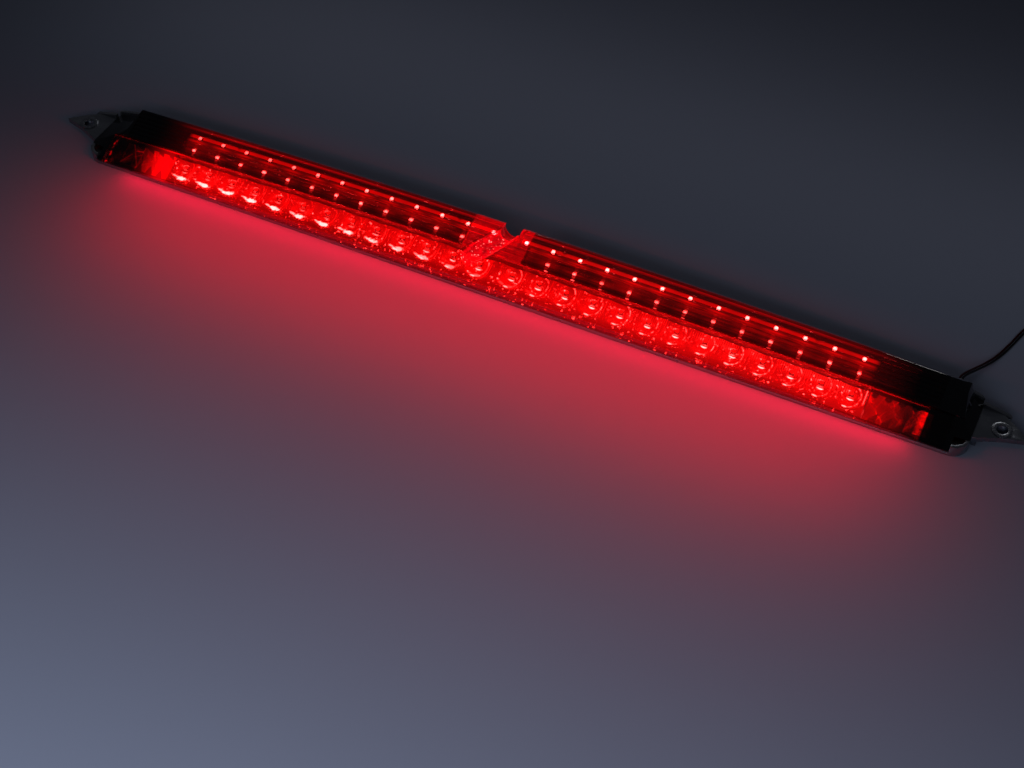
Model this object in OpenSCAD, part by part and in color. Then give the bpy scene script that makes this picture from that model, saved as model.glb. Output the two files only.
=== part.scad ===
// Third brake light: a long, slim, two-tier LED lamp that lies on its flat base.
// X runs along the lamp, -Y is the lit front, +Z is up. The origin is at the
// middle of the base. The upper surfaces are crowned along X.

/* [Lamp body] */
// Length of the lamp body without its ears
body_l = 596; // [592:1:600]
// Depth of the body from the lit front to the back wall
body_d = 42; // [42:0.5:44]
// Height of the ridge above the base at the middle
body_h = 25.6; // [25.2:0.1:26.4]
// Drop of the crowned top between the middle and 280 mm from it
crown = 5; // [4:0.25:5.5]
// Wall of the housing
wall = 2; // [1.8:0.1:2.2]
// Half length of the two smoked covers
window_half = 275; // [270:1:275]
// Half length of the red window
lens_half = 285; // [280:1:286]
// Corner radius of the body at the front
corner_r = 10; // [8:1:12]

/* [Lights] */
// LEDs on each side of the middle, in each row
leds_side = 13; // [8:1:13]
// Distance between neighbouring LEDs
pitch = 18; // [16.5:0.25:18]
// Distance between the two LEDs next to the middle
mid_gap = 22.5; // [21.5:0.5:24]

/* [Ears] */
// Distance between the two fixing holes
hole_spacing = 624; // [620:1:628]
// Diameter of the bore in the steel bushings
hole_d = 6.5; // [5.5:0.25:7]
// Distance from the middle of the lamp to the tip of an ear
ear_tip = 328; // [326:1:330]
// Height of the underside of the ear tab above the base
ear_z = 4.6; // [4:0.2:5.4]
// Thickness of the ear tab
ear_t = 3.4; // [3:0.2:4]

/* [Cable] */
// Outside diameter of one wire
wire_d = 1.4; // [1.3:0.1:1.5]

/* [Hidden] */

$fn = 64;
front = -body_d / 2;
back = body_d / 2;
half = body_l / 2;
CR = (280 * 280 + crown * crown) / (2 * crown); // radius of the crowned arc
FINE = 7200;                                    // steps of a full turn on that arc
lip_h = 2.6;                                    // top of the silver front lip

// Height of the crowned arc at x, measured from its middle
function drop(x) = sqrt(CR * CR - x * x) - CR;
// Angle on the crowned arc at x
function ang(x) = asin(x / CR);
// Position of LED i, counted from the left end of a row
function led_x(i) = (i < leds_side)
    ? -mid_gap / 2 - (leds_side - 1 - i) * pitch
    : mid_gap / 2 + (i - leds_side) * pitch;
ALL = [for (i = [0:2 * leds_side - 1]) led_x(i)];
row_end = led_x(2 * leds_side - 1) + pitch / 2;

// Outline of the body across the lamp, [y, z] at the middle, pulled in by t
slope_a = [front + 1.2, 9.6];      // top of the steep strip
ledge = [-2, 17.6];                // foot of the smoked tier
ledge_top = 18.8;
ridge_f = [back - 5, body_h - 0.4];
function outline(t, foot) = [
    [front + t, foot], [front + t, 8.5 - t * 0.45],
    [slope_a[0] + t * 0.75, slope_a[1] - t * 0.9],
    [ledge[0] + t * 0.1, ledge[1] - t * 1.05],
    [ledge[0] + t * 0.6, ledge_top - t],
    [ridge_f[0] + t * 0.1, ridge_f[1] - t],
    [back - 2.6, body_h - t], [back - t, body_h - 1.6 - t * 0.9],
    [back - t, foot]];

// ---- building blocks ------------------------------------------------------

// Sweep [y, z] points along the crowned arc from x = a to x = b. A piece that
// crosses the middle is made as two halves that meet at x = 0.
module arc(a, b, pts) {
    for (k = (a < 0 && b > 0) ? [[a, 0], [0, b]] : [[a, b]])
        translate([0, 0, -CR]) rotate([0, 0, -90]) rotate([0, -90, 0])
            rotate_extrude(angle = ang(k[1]) - ang(k[0]), start = ang(k[0]), $fn = FINE)
                polygon([for (q = pts) [CR + q[1], q[0]]]);
}

// Everything above height z
module above(z) {
    translate([-400, -60, z]) cube([800, 120, 60]);
}

// Plan of the body, pulled in by t, as a prism from z = a to z = b
module plan(t, a, b) {
    hx = half - t;
    f = front + t;
    k = back - t;
    r = corner_r - t;
    q = 4 - t * 0.5;
    translate([0, 0, a]) linear_extrude(b - a) difference() {
        translate([-hx, f]) square([2 * hx, k - f]);
        for (s = [-1, 1]) {
            difference() {
                translate([s * hx - (s > 0 ? r : 0), f]) square([r, r]);
                translate([s * (hx - r), f + r]) circle(r, $fn = 96);
            }
            difference() {
                translate([s * hx - (s > 0 ? q : 0), k - q]) square([q, q]);
                translate([s * (hx - q), k - q]) circle(q, $fn = 48);
            }
        }
    }
}

// Mirror image for the left end
module side(s) {
    if (s < 0) mirror([1, 0, 0]) children(); else children();
}

// ---- housing --------------------------------------------------------------

// Side view of the two ends, [x, z] from the covers outwards. The right one
// stays high as far as the cable's outlet.
END_L = [[275.6, 40], [276.6, 20.6], [278.6, 15.6], [284, 12.7], [291, 10.4], [half + 0.6, 8.3]];
END_R = [[282, 40], [283.4, 20.4], [288, 18.7], [291.6, 12], [half + 0.6, 8.3]];
WALL_L = [[274, 40], [274, 16.5], [half + 1, 11.4], [half + 1, 40]];
WALL_R = [[286, 40], [286, 16.5], [290, 13.4], [half + 1, 11.4], [half + 1, 40]];
end_h = 7.4;                       // height of the silver end wall

// Prism along Y through an outline in [x, z]
module across(pts) {
    translate([0, 60, 0]) rotate([90, 0, 0]) linear_extrude(120) polygon(pts);
}

// Silver housing: floor, front lip, back wall, end walls, ribs and the two ears
module ear_half() {
    // flat pointed tab with its hole
    difference() {
        translate([0, 0, ear_z]) linear_extrude(ear_t)
            polygon([[half - 0.1, -9], [half + 3, -8], [half + 10, -4.8],
                [hole_spacing / 2 + 4, -1.6], [ear_tip, 1.6],
                [hole_spacing / 2 + 6, 10], [hole_spacing / 2 - 2, 15.6],
                [half + 6, 17.4], [half - 0.1, 17.4]]);
        translate([hole_spacing / 2, 3.2, ear_z - 1]) cylinder(r = 4.75, h = ear_t + 2);
    }
    // upright web behind the tab, falling towards the tip
    translate([0, 17.6, 0]) rotate([90, 0, 0]) linear_extrude(2.4)
        polygon([[half - 1, 0], [half + 15, 0], [half + 17, 6.2],
            [half + 15.6, 7.4], [half - 0.1, 11.2], [half - 0.1, end_h], [half - 1, end_h]]);
    // low front rib that stiffens the tab
    translate([half - 1, -7.4, 0]) cube([4, 2, ear_z + 1]);
}

module rear_housing() {
    color("#aeb2b8") difference() {
        union() {
            plan(0, 0, wall);
            intersection() {
                plan(0, 0, 40);
                above(0);
                union() {
                    // front lip
                    translate([-half, front, 0]) cube([body_l, 1.8, lip_h]);
                    // back wall, which steps down beyond the covers
                    difference() {
                        arc(-half + 0.1, half - 0.1, [[back - wall, -9], [back - wall, 21.8],
                            [back, 21.8], [back, -9]]);
                        side(-1) across(WALL_L);
                        side(1) across(WALL_R);
                    }
                    // low end walls below the black caps
                    for (s = [-1, 1]) side(s) difference() {
                        translate([289, -40, 0]) cube([20, 80, end_h]);
                        plan(2, -1, 9);
                    }
                }
            }
            // ribs that carry the boards
            for (x = [-222, -150, -78, 78, 150, 222])
                intersection() {
                    translate([x - 0.8, -60, wall - 0.5]) cube([1.6, 120, 60]);
                    arc(x - 2, x + 2, [[-9, -9], [-9, 7.3], [-1, 7.3], [4, 9.5],
                        [10.9, 14], [10.9, 18.3], [back - 1, 18.3], [back - 1, -9]]);
                }
            // screw posts under the upper boards
            for (x = [-198, -36, 36, 198]) translate([x, 16, wall - 0.5])
                cylinder(r = 2.6, h = 18.3 + drop(x) - wall + 0.5);
            for (s = [-1, 1]) side(s) ear_half();
        }
        for (x = [-198, -36, 36, 198]) translate([x, 16, 8])
            cylinder(r = 1.3, h = 20);
        // notch in the back wall for the centre piece
        groove(wall_s);
        // groove for the foam gasket
        translate([0, 0, -1]) difference() {
            translate([-262, -14, 0]) cube([524, 28, 2.2]);
            translate([-257, -9, -1]) cube([514, 18, 5]);
        }
        // seat of the vent patch and its breather hole
        translate([-150, back + 1, 11]) rotate([90, 0, 0]) cylinder(r = 5, h = 1.6);
        translate([-150, back + 1, 11]) rotate([90, 0, 0]) cylinder(r = 1, h = 6);
        // hole for the grommet
        translate([281, back + 1, 12.4]) rotate([90, 0, 0]) cylinder(r = 3, h = 7);
    }
}

// Foam ring in the underside, which seals against the car's body
module base_gasket() {
    color("#26272a") difference() {
        translate([-262, -14, 0]) cube([524, 28, 1.2]);
        translate([-257, -9, -1]) cube([514, 18, 5]);
    }
}

module vent_patch() {
    color("#e6e7ea") translate([-150, back, 11]) rotate([90, 0, 0]) difference() {
        cylinder(r = 4.8, h = 0.6);
        translate([0, 0, -0.2]) cylinder(r = 3.4, h = 0.4);
    }
}

// Steel sleeve that takes the load of the fixing bolt
module bushing() {
    translate([hole_spacing / 2, 3.2, ear_z - 0.2]) difference() {
        union() {
            cylinder(r = 4.75, h = ear_t + 0.2);
            translate([0, 0, ear_t + 0.2]) cylinder(r = 5.8, h = 0.6);
        }
        translate([0, 0, -1]) cylinder(r = hole_d / 2, h = ear_t + 4);
    }
}
module ear_bushing_left() { color("#c9ccd0") side(-1) bushing(); }
module ear_bushing_right() { color("#c9ccd0") side(1) bushing(); }

// ---- lenses and covers ----------------------------------------------------

// Clear red window of the lower tier
module red_lens() {
    color("#d4101c") difference() {
        intersection() {
        above(lip_h);
        arc(-lens_half, lens_half, [[front, -9], [front, 8.5], slope_a, ledge,
            [ledge[0], ledge[1] - 2.2], [slope_a[0] + 1.2, slope_a[1] - 2],
            [front + 2, 7.4], [front + 2, -9]]);
        }
        groove(wall_s);
    }
}

// Section of the smoked tier: ledge, six flutes, ridge and back lip
flutes = 6;
function flute_pts() = let (x0 = ledge[0], x1 = ridge_f[0], z0 = ledge_top,
        z1 = ridge_f[1], w = (x1 - x0) / flutes, g = (z1 - z0) / (x1 - x0))
    [for (i = [0:flutes - 1]) for (k = [0:2])
        let (u = x0 + w * (i + [0, 0.35, 0.97][k]))
        [u, z0 + g * (u - x0) - [0, 0, 0.62][k]]];
cover_pts = concat([[ledge[0], ledge[1]]], flute_pts(),
    [[ridge_f[0], ridge_f[1]], [back - 2.6, body_h], [back, body_h - 1.6],
     [back, 21.8], [back - 2, 21.8], [back - 2, body_h - 3],
     [ridge_f[0] + 0.5, ridge_f[1] - 1.5], [ledge[0] + 1.6, ledge_top - 2.1],
     [ledge[0] + 1, ledge[1] - 0.4 - 1.4], [ledge[0], ledge[1] - 2.2]]);

scoop_l = -26;   // left edge of the clear centre piece
scoop_r = 14;    // right edge of the clear centre piece

module top_cover_left() {
    color("#4a0d12") arc(-window_half, scoop_l, cover_pts);
}
module top_cover_right() {
    color("#4a0d12") arc(scoop_r, window_half, cover_pts);
}

// Groove through the ridge: a straight notch at the back that turns into a
// trumpet and sweeps down to the front
wall_s = 0.9;                  // wall of the groove in the clear centre piece
g_back = [2.5, 18, 22.4];
g_front = [-20, -12, 19.2];
g_vec = g_front - g_back;
g_len = norm(g_vec);
module groove(t) {
    translate([-0.5, back + 3, 21.3]) rotate([90, 0, 0]) cylinder(r = 6.8 + t, h = back - 10.7);
    translate([-6.9 - t, 13.4, 21.3]) cube([12.8 + 2 * t, back - 10.4, 12]);
    translate(g_back) rotate([0, acos(g_vec[2] / g_len), atan2(g_vec[1], g_vec[0])])
        cylinder(r1 = 4.8 + t, r2 = 7 + t, h = g_len);
}

// Clear red centre piece
module centre_scoop() {
    color("#ef1a28") difference() {
        union() {
            arc(scoop_l, scoop_r, cover_pts);
            intersection() {
                arc(scoop_l - 4, scoop_r, outline(0, 6));
                groove(wall_s);
            }
        }
        groove(0);
    }
}

// Gloss-black end caps, which slope down to the silver end walls
module cap(line) {
    difference() {
        intersection() {
            plan(0.2, lip_h, 40);
            arc(window_half, half, outline(0, -9));
            across(concat([[270, -20], [270, 40]], line, [[half + 0.6, -20]]));
        }
        intersection() {
            plan(2.2, -1, 38);
            arc(window_half - 1, half - 1, outline(2, -9));
            across(concat([[268, -20], [268, 40]], [for (q = line) [q[0] - 1.8, q[1] - 1.8]],
                [[half - 1.2, -20]]));
        }
        // room for the window, the housing's back wall and its end wall
        arc(268, lens_half, [[-40, -20], [-40, 60], [ledge[0], 60], [ledge[0], -20]]);
        translate([270, back - wall, -1]) cube([40, 10, 23.1 - crown]);
        translate([288.9, -40, -1]) cube([20, 80, end_h + 1.1]);
    }
}
module end_cap_left() { color("#0c0c0e") side(-1) cap(END_L); }
module end_cap_right() {
    color("#0c0c0e") difference() {
        side(1) cap(END_R);
        translate([281, back + 1, 12.4]) rotate([90, 0, 0]) cylinder(r = 4.4, h = 7);
    }
}

// ---- optics ---------------------------------------------------------------

// Metallised lower tray with one scooped cell to each LED
module lower_reflector() {
    color("#c8cbd2") intersection() {
        above(wall + 0.2);
        difference() {
            arc(-row_end, row_end, [[front + 2.6, -6], [front + 2.6, 5.4],
                [front + 3.4, 6.6], [-3.2, 13.4], [-3.2, 11.8], [-9.6, 8.9], [-9.6, -6]]);
            for (x = ALL) {
                translate([x, -11.8, 9.34 + drop(x)]) rotate([25.3, 0, 0])
                    translate([0, 0, -3]) cylinder(r1 = 5.4, r2 = 8.8, h = 4);
                translate([x - 2, -8.2, 5 + drop(x)]) cube([4, 3.6, 20]);
            }
        }
    }
}

// Stepped mirror below the smoked covers
mirror_steps = 5;
module mirror_band(a, b) {
    arc(a, b, concat(
        [for (i = [0:mirror_steps - 1]) for (k = [0:1])
            [-0.4 + 1.9 * (i + k), 11 + 1.55 * i + (k == 1 ? 0.1 : 0) + (k == 0 ? 1.2 : 0)]],
        [[9.1, 20.2], [10.4, 20.2], [10.4, 19.6], [9.9, 17.6], [-0.4, 9.6]]));
}
module upper_reflector() {
    color("#b9bcc4") {
        mirror_band(-row_end, scoop_l - 1);
        mirror_band(scoop_r + 1, row_end);
    }
}

// Prism blocks that fill the window beyond the last LED
module reflex() {
    intersection() {
        above(wall + 0.2);
        difference() {
            arc(row_end + 0.6, window_half - 1, [[front + 2.8, -6], [front + 2.8, 5],
                [front + 3.6, 6.2], [-3.2, 13.2], [-3.2, 3], [-6, -6]]);
            for (i = [0:3]) translate([row_end + 5 + 8 * i, 0, 13.4 + drop(255)])
                rotate([0, 45, 0]) rotate([28, 0, 0]) cube([4.2, 60, 4.2], center = true);
        }
    }
}
module end_reflex_left() { color("#8e0f18") side(-1) reflex(); }
module end_reflex_right() { color("#8e0f18") side(1) reflex(); }

// ---- electronics ----------------------------------------------------------

led_y = 12.6;
upper_pcb = [[10.9, 18.4], [10.9, 19.6], [18.6, 19.6], [18.6, 18.4]];
module board_holes() {
    for (x = [-198, -36, 36, 198]) translate([x, 16, 5]) cylinder(r = 1.4, h = 20);
}
module upper_led_board_left() {
    color("#e9ece8") difference() {
        arc(-row_end, -9.4, upper_pcb);
        board_holes();
        groove(wall_s + 0.2);
    }
}
module upper_led_board_right() {
    color("#e9ece8") difference() {
        arc(7.8, row_end, upper_pcb);
        board_holes();
        groove(wall_s + 0.2);
    }
}
module lower_led_board() {
    color("#e9ece8") arc(-row_end, row_end,
        [[-9, 7.4], [-9, 8.4], [-1, 8.4], [-1, 7.4]]);
}

// Surface-mount LED: white package with a domed lens
module led(h) {
    translate([-1.5, -1.5, 0]) cube([3, 3, h - 0.5]);
    translate([0, 0, h - 0.5]) cylinder(r1 = 1.25, r2 = 0.8, h = 0.5);
}
module upper_leds() {
    color("#ff6a60") for (x = ALL) translate([x, led_y, 19.65 + drop(x)]) led(1.5);
}
module lower_leds() {
    color("#ff6a60") for (x = ALL) translate([x, -6.4, 8.45 + drop(x)]) led(2.4);
}
module chip_resistors() {
    color("#1d1d1f") for (i = [0:2:2 * leds_side - 1])
        translate([ALL[i] + 6, -3.4, 8.42 + drop(ALL[i] + 7)]) cube([2, 1.2, 0.5]);
}
module current_regulators() {
    color("#2a2a2d") for (x = [-230, -90, 90, 230])
        translate([x - 2.2, -3.9, 8.42 + drop(abs(x) - 2)]) cube([4.4, 2.6, 1.1]);
}
module board_screws() {
    color("#d0b060") for (x = [-198, -36, 36, 198]) translate([x, 16, 19.68 + drop(x)])
        difference() {
            union() {
                cylinder(r = 2.2, h = 1.3);
                translate([0, 0, -7]) cylinder(r = 1.2, h = 7.1);
            }
            translate([-0.3, -1.7, 0.8]) cube([0.6, 3.4, 1]);
            translate([-1.7, -0.3, 0.8]) cube([3.4, 0.6, 1]);
        }
}

// Pairs of short links that feed the lower board from the upper ones
module board_link_wires() {
    color("#c01818") for (x = [-214, -210, 210, 214])
        translate([x, 0, 0]) {
            translate([0, 1.6, 5 + drop(x)]) rotate([0, 0, 0]) cylinder(r = 0.6, h = 3);
            translate([0, 1.6, 7 + drop(x)]) rotate([-90, 0, 0]) cylinder(r = 0.6, h = 12);
            translate([0, 13, 6.5 + drop(x)]) cylinder(r = 0.6, h = 11.85);
        }
}

// Leads from the grommet to the right upper board
module inner_leads() {
    color("#b01a1a") for (k = [0, 1]) {
        y = 13.4 + 2.2 * k;
        translate([280.2 + 1.6 * k, y, 12.4]) rotate([-90, 0, 0])
            cylinder(r = 0.65, h = back - 4 - y);
        translate([row_end - 4, y, 12.4]) rotate([0, 90, 0])
            cylinder(r = 0.65, h = 280.85 + 1.6 * k - row_end + 4);
        translate([row_end - 4, y, 11.75]) cylinder(r = 0.65, h = 18.35 + drop(row_end - 4) - 11.75);
    }
}

// ---- cable ----------------------------------------------------------------

// Rubber grommet in the back wall with two wire holes
module cable_grommet() {
    color("#1b1b1d") translate([281, back, 12.4]) rotate([90, 0, 0]) difference() {
        union() {
            translate([0, 0, -1.6]) cylinder(r = 4.2, h = 1.6);
            translate([0, 0, -4.4]) cylinder(r1 = 2.4, r2 = 3.4, h = 2.8);
            translate([0, 0, 0]) cylinder(r = 3, h = 2);
            translate([0, 0, 2]) cylinder(r = 4, h = 1.4);
        }
        for (k = [-1, 1]) translate([0.8 * k, 0, -6]) cylinder(r = wire_d / 2, h = 12);
    }
}

// Swept tube with 8 sides along a list of points
function unit(v) = v / norm(v);
function smooth_at(p, i, t) = let (n = len(p) - 1, a = p[max(i - 1, 0)], b = p[i],
        c = p[min(i + 1, n)], d = p[min(i + 2, n)])
    0.5 * (2 * b + (c - a) * t + (2 * a - 5 * b + 4 * c - d) * t * t
        + (3 * b - a - 3 * c + d) * t * t * t);
function route(p, k) = concat([for (i = [0:len(p) - 2]) for (j = [0:k - 1])
    smooth_at(p, i, j / k)], [p[len(p) - 1]]);
module tube(p, r, n = 8) {
    m = len(p);
    tan = [for (i = [0:m - 1]) unit(p[min(i + 1, m - 1)] - p[max(i - 1, 0)])];
    pts = [for (i = [0:m - 1]) let (u = unit(cross(tan[i], [0, 0, 1])),
            w = cross(u, tan[i]))
        for (j = [0:n - 1]) p[i] + r * (cos(360 * j / n + 22.5) * u
            + sin(360 * j / n + 22.5) * w)];
    polyhedron(points = pts, convexity = 8, faces = concat(
        [[for (j = [0:n - 1]) j]],
        [[for (j = [n - 1:-1:0]) (m - 1) * n + j]],
        [for (i = [0:m - 2]) for (j = [0:n - 1])
            [i * n + j, (i + 1) * n + j, (i + 1) * n + (j + 1) % n, i * n + (j + 1) % n]]));
}

// Routes of the free wires, from the grommet to the hank
RED = [[280.2, 25.4, 12.4], [280.2, 29, 12], [281.6, 35, 10], [284.8, 43, 7],
    [288.8, 52, 4], [292.8, 61, 2], [296.2, 70, 1], [299.4, 80, 0.8],
    [302.6, 91, 0.8], [306, 99, 0.8], [311, 104.2, 0.9], [317, 106, 1.1],
    [324, 106.4, 1.3]];
BLACK = [[281.8, 25.4, 12.4], [281.8, 29, 12], [283.2, 34.6, 10], [286.4, 42.4, 7],
    [290.4, 51.4, 4], [294.4, 60.4, 2], [297.8, 69.4, 1], [301, 79.4, 0.8],
    [304.2, 90.2, 0.8], [307.4, 97.6, 0.8], [311.8, 102.6, 0.9], [317.4, 104.6, 1.1],
    [324, 105, 1.3]];
hank_x0 = 331.5;     // ends of the straight runs of the hank
hank_x1 = 359.5;
hank_y = 111.4;     // middle of the hank
hank_w = 6.4 + 0.7; // half of its width
module wire_red() { color("#a3121a") tube(route(RED, 3), wire_d / 2 + 0.02); }
module wire_black() { color("#161618") tube(route(BLACK, 3), wire_d / 2 + 0.02); }

// The rest of the two wires, folded flat: outer shape of the hank
module wire_hank() {
    color("#2a1012") translate([0, 0, 0.6]) linear_extrude(2.8) union() {
        translate([hank_x0, hank_y - hank_w]) square([hank_x1 - hank_x0, 2 * hank_w]);
        translate([hank_x0, hank_y]) circle(hank_w);
        translate([hank_x1, hank_y]) circle(hank_w);
        for (k = [-7.1, 4.3]) translate([324, hank_y + k]) square([9, 2.8]);
    }
}
module hank_tie() {
    color("#1a1a1c") difference() {
        union() {
            translate([343, hank_y - hank_w - 0.7, 0]) cube([2.6, 2 * hank_w + 1.4, 4]);
            translate([342.2, hank_y - 2, 3.6]) cube([4.2, 4, 1.6]);
        }
        translate([340, hank_y - hank_w, 0.6]) cube([10, 2 * hank_w, 2.8]);
    }
}

// Two-way plug on the end of the wires
module connector_body() {
    color("#202124") difference() {
        union() {
            translate([302, 112.2, 0]) cube([20, 9.8, 7.6]);
            translate([304, 115, 7.6]) cube([13, 4.2, 1.4]);
            translate([302, 111.4, 1.4]) cube([3, 11.4, 4.8]);
            translate([317.4, 116.1, 7.6]) cube([2, 2, 0.8]);
        }
        // mouth that takes the mating half
        translate([301, 113.4, 1.2]) cube([9, 7.4, 5.2]);
        // wire seats
        for (k = [-1, 1]) translate([309, 117.1 + 1.9 * k, 3.4]) rotate([0, 90, 0])
            cylinder(r = 1.6, h = 14);
    }
}
module connector_seals() {
    color("#8a2a22") for (k = [-1, 1]) translate([319, 117.1 + 1.9 * k, 3.4])
        rotate([0, 90, 0]) difference() {
            cylinder(r = 1.58, h = 5);
            translate([0, 0, -0.1]) cylinder(r = 0.5, h = 2);
        }
}
module connector_pins() {
    color("#c9a24a") for (k = [-1, 1]) translate([306.2, 117.1 + 1.9 * k - 0.3, 3.1])
        cube([12.7, 0.6, 0.6]);
}

rear_housing();
red_lens();
top_cover_left();
top_cover_right();
centre_scoop();
end_cap_left();
end_cap_right();
lower_reflector();
upper_reflector();
end_reflex_left();
end_reflex_right();
upper_led_board_left();
upper_led_board_right();
lower_led_board();
upper_leds();
lower_leds();
chip_resistors();
current_regulators();
board_screws();
board_link_wires();
inner_leads();
ear_bushing_left();
ear_bushing_right();
base_gasket();
vent_patch();
cable_grommet();
wire_red();
wire_black();
wire_hank();
hank_tie();
connector_body();
connector_seals();
connector_pins();
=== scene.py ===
import math

import bmesh
import bpy
import numpy as np
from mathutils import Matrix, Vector, noise


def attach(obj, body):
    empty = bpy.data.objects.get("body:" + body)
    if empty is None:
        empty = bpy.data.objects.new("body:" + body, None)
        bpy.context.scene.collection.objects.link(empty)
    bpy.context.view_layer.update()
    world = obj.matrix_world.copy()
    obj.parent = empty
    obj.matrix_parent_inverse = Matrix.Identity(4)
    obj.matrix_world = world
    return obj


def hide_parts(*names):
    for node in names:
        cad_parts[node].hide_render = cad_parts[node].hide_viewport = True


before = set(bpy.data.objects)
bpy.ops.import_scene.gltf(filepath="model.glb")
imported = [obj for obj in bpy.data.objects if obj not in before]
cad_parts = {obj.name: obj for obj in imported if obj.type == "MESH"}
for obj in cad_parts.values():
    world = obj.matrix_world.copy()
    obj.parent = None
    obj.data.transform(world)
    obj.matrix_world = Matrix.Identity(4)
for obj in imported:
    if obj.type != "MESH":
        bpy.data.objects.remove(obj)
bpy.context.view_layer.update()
MM = 0.001
D = bpy.data
SC = bpy.context.scene
COL = SC.collection

# ---------------------------------------------------------------- camera
W_PX = 1024
cam = D.cameras.new("cam")
cam.sensor_width = 36.0
cam.lens = 1600.0 / W_PX * 36.0
cam.clip_start = 0.02
cam.clip_end = 30
camo = D.objects.new("cam", cam)
COL.objects.link(camo)
az, el = math.radians(25.869), math.radians(48.0316)
back = Vector((math.sin(az) * math.cos(el), -math.cos(az) * math.cos(el), math.sin(el)))
camo.location = Vector((318.05, -640.9, 694.4)) * MM
camo.rotation_euler = back.to_track_quat("Z", "Y").to_euler()
SC.camera = camo

# ---------------------------------------------------------------- geometry helpers (mm in, metres out)
CROWN = 5.0
CR = (280.0 * 280.0 + CROWN * CROWN) / (2 * CROWN)
FRONT, BACK = -21.0, 21.0
PITCH, MID = 18.0, 22.5
LEDX = [-MID / 2 - (12 - i) * PITCH for i in range(13)] + [MID / 2 + i * PITCH for i in range(13)]
ROW = LEDX[-1] + PITCH / 2


def drop(x):
    return math.sqrt(CR * CR - x * x) - CR


def crowned(x, y, z):
    """A [y, z] section point carried to station x on the crowned arc."""
    s = x / CR
    c = math.sqrt(1 - s * s)
    return ((CR + z) * s * MM, y * MM, ((CR + z) * c - CR) * MM)


def link(name, me):
    o = D.objects.new(name, me)
    COL.objects.link(o)
    return o


def finish_mesh(name, bm, mats, sharp=32.0, smooth=True):
    bmesh.ops.recalc_face_normals(bm, faces=bm.faces)
    for f in bm.faces:
        f.smooth = smooth
    lim = math.radians(sharp)
    for e in bm.edges:
        e.smooth = not (len(e.link_faces) == 2 and e.calc_face_angle(0.0) > lim)
    me = D.meshes.new(name)
    bm.to_mesh(me)
    bm.free()
    for m in mats:
        me.materials.append(m)
    return link(name, me)


def fillet(pts, radii, seg=4):
    """Rounds the corners of a closed [y, z] outline."""
    out = []
    n = len(pts)
    for i in range(n):
        p = Vector(pts[i])
        a, b = Vector(pts[i - 1]) - p, Vector(pts[(i + 1) % n]) - p
        r = radii[i] if isinstance(radii, (list, tuple)) else radii
        la, lb = a.length, b.length
        if r <= 0 or la < 1e-6 or lb < 1e-6:
            out.append(tuple(p))
            continue
        a.normalize()
        b.normalize()
        ang = math.acos(max(-1, min(1, a.dot(b))))
        if ang > math.radians(176) or ang < 0.02:
            out.append(tuple(p))
            continue
        t = min(r / math.tan(ang / 2), la * 0.45, lb * 0.45)
        r = t * math.tan(ang / 2)
        c = p + (a + b).normalized() * (r / math.sin(ang / 2))
        s, e = p + a * t - c, p + b * t - c
        th = math.atan2(s.x * e.y - s.y * e.x, s.dot(e))
        for k in range(seg + 1):
            q = th * k / seg
            out.append((c.x + s.x * math.cos(q) - s.y * math.sin(q), c.y + s.x * math.sin(q) + s.y * math.cos(q)))
    return out


def sweep(bm, pts, xs, mat=0, place=crowned, cap=True):
    """A closed section swept along X on the crowned arc."""
    rings = [[bm.verts.new(place(x, y, z)) for (y, z) in pts] for x in xs]
    n = len(pts)
    for i in range(len(xs) - 1):
        for j in range(n):
            f = bm.faces.new((rings[i][j], rings[i + 1][j], rings[i + 1][(j + 1) % n], rings[i][(j + 1) % n]))
            f.material_index = mat
    if cap:
        for r in (rings[0], rings[-1]):
            f = bm.faces.new(r)
            f.material_index = mat
            bmesh.ops.triangulate(bm, faces=[f])
    return rings


def span(a, b, step):
    n = max(1, int(math.ceil((b - a) / step)))
    return [a + (b - a) * i / n for i in range(n + 1)]


def cad_copy(node, name, mats, bevel=0.35, seg=2, ang=28.0, pick=None):
    """A piece remade from a CAD solid with its sharp edges rounded over."""
    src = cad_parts[node].data
    bm = bmesh.new()
    bm.from_mesh(src)
    bmesh.ops.remove_doubles(bm, verts=bm.verts, dist=1e-6)
    bmesh.ops.dissolve_degenerate(bm, dist=1e-6, edges=bm.edges)
    bmesh.ops.dissolve_limit(bm, angle_limit=math.radians(0.6), verts=bm.verts, edges=bm.edges)
    if bevel:
        es = [e for e in bm.edges if len(e.link_faces) == 2 and e.calc_face_angle(0.0) > math.radians(ang)]
        bmesh.ops.bevel(bm, geom=es, offset=bevel * MM, offset_type="OFFSET", segments=seg, profile=0.5,
                        affect="EDGES", clamp_overlap=True, loop_slide=True)
        bmesh.ops.remove_doubles(bm, verts=bm.verts, dist=2e-6)
        bmesh.ops.dissolve_degenerate(bm, dist=1e-6, edges=bm.edges)
    for f in bm.faces:
        f.material_index = 0
        if pick:
            f.material_index = pick(f)
    bmesh.ops.triangulate(bm, faces=[f for f in bm.faces if len(f.verts) > 4])
    return finish_mesh(name, bm, mats, sharp=30)


# ---------------------------------------------------------------- material helpers
def mat(name):
    m = D.materials.new(name)
    m.use_nodes = True
    nt = m.node_tree
    b = nt.nodes["Principled BSDF"]
    return m, nt, b


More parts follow.
